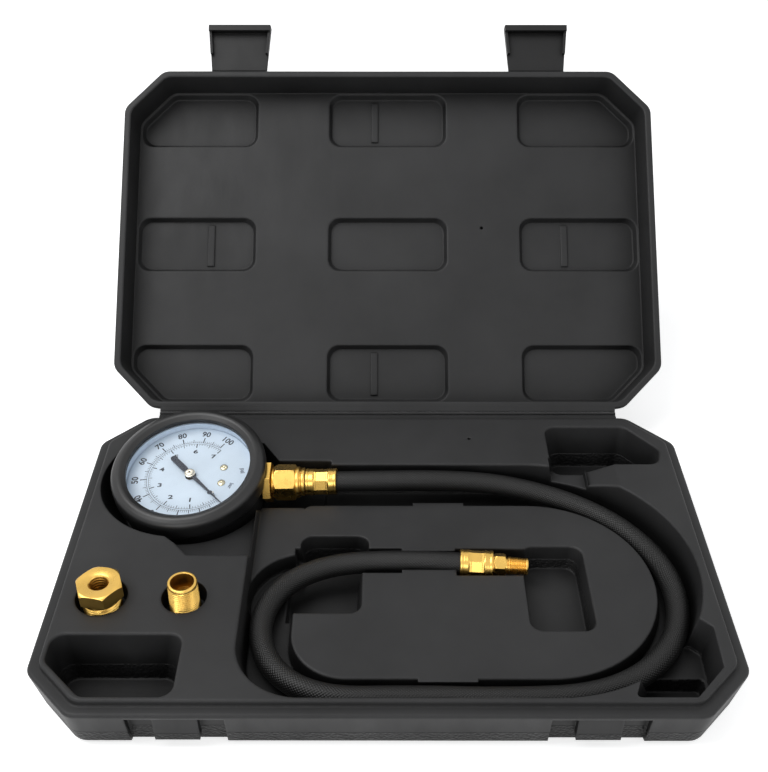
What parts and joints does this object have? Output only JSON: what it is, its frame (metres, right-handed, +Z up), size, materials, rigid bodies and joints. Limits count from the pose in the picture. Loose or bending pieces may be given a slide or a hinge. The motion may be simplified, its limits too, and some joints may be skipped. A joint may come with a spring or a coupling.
{
  "type": "engine oil pressure tester",
  "caption": "Oil pressure test kit: dial gauge in a rubber boot with a hose, crimped brass fittings and loose adapters in a hinged moulded carry case with recessed channels and flap latches.",
  "frame": {"origin": "centre of the underside of the carry case's base", "axes": "+X to the right, +Y to the back where the lid is hinged, +Z up from the surface that the case lies on"},
  "size_m": [0.3596, 0.4361, 0.2192],
  "materials": {
    "case_plastic": "black blow-moulded polyethylene, soft sheen",
    "boot_rubber": "black moulded rubber, semi-gloss",
    "hose_rubber": "black hose rubber with a faint cloth wrap pattern",
    "case_steel": "black painted pressed steel",
    "bezel_black": "black painted steel ring",
    "lens": "clear window",
    "dial_white": "white printed dial",
    "pointer_black": "matt black",
    "screw_steel": "plain steel",
    "brass": "turned brass, bright",
    "bronze": "phosphor bronze and brass sheet"
  },
  "bodies": {
    "base": {"case_base": "case_plastic", "hinge_web": "case_plastic", "gauge_boot": "boot_rubber", "gauge_case": "case_steel", "bezel_ring": "bezel_black", "gauge_lens": "lens", "dial_plate": "dial_white", "dial_screws": "screw_steel", "stop_pin": "screw_steel", "gauge_socket": "brass", "hose_coupling": "brass", "gauge_ferrule": "brass", "hose": "hose_rubber", "tool_ferrule": "brass", "hose_end_fitting": "brass", "bush_adapter": "brass", "nipple_adapter": "brass", "bourdon_tube": "bronze", "tube_tip": "bronze", "movement_back_plate": "bronze", "movement_front_plate": "bronze", "movement_pillars": "bronze", "movement_screws": "screw_steel", "hairspring": "bronze", "hairspring_stud": "bronze"},
    "lid": {"case_lid": "case_plastic"},
    "latch_left": {"latch_left": "case_plastic"},
    "latch_right": {"latch_right": "case_plastic"},
    "sector": {"sector_gear": "bronze"},
    "link": {"link_bar": "bronze"},
    "pointer": {"pinion_arbor": "screw_steel", "pointer": "pointer_black", "pointer_cap": "brass"}
  },
  "joints": [
    {"name": "lid_hinge", "type": "hinge", "parent": "base", "child": "lid", "pos_m": [0, 0.12085, 0.0282], "axis": [1, 0, 0], "range_deg": [0, 135.5]},
    {"name": "latch_left_fold", "type": "hinge", "parent": "lid", "child": "latch_left", "pos_m": [-0.1025, 0.29607, 0.19309], "axis": [1, 0, 0], "range_deg": [0, 90]},
    {"name": "latch_right_fold", "type": "hinge", "parent": "lid", "child": "latch_right", "pos_m": [0.1025, 0.29607, 0.19309], "axis": [1, 0, 0], "range_deg": [0, 90]},
    {"name": "sector_swing", "type": "hinge", "parent": "base", "child": "sector", "pos_m": [-0.13776, 0.05824, 0.01971], "axis": [-0.0576, -0.1648, 0.9847], "range_deg": [0, 27], "stiffness_Nm_per_rad": 0.01},
    {"name": "pointer_spin", "type": "hinge", "parent": "base", "child": "pointer", "pos_m": [-0.1174, 0.0592, 0.0104], "axis": [-0.0576, -0.1648, 0.9847], "range_deg": [-270, 0], "deforming": ["hairspring"]},
    {"name": "link_swing", "type": "hinge", "parent": "sector", "child": "link", "pos_m": [-0.13737, 0.05307, 0.00821], "axis": [-0.0576, -0.1648, 0.9847], "range_deg": [-27, 0]}
  ],
  "couplings": [
    {"joint": "pointer_spin", "follows": "sector_swing", "ratio": -10},
    {"joint": "link_swing", "follows": "sector_swing", "ratio": -1}
  ]
}
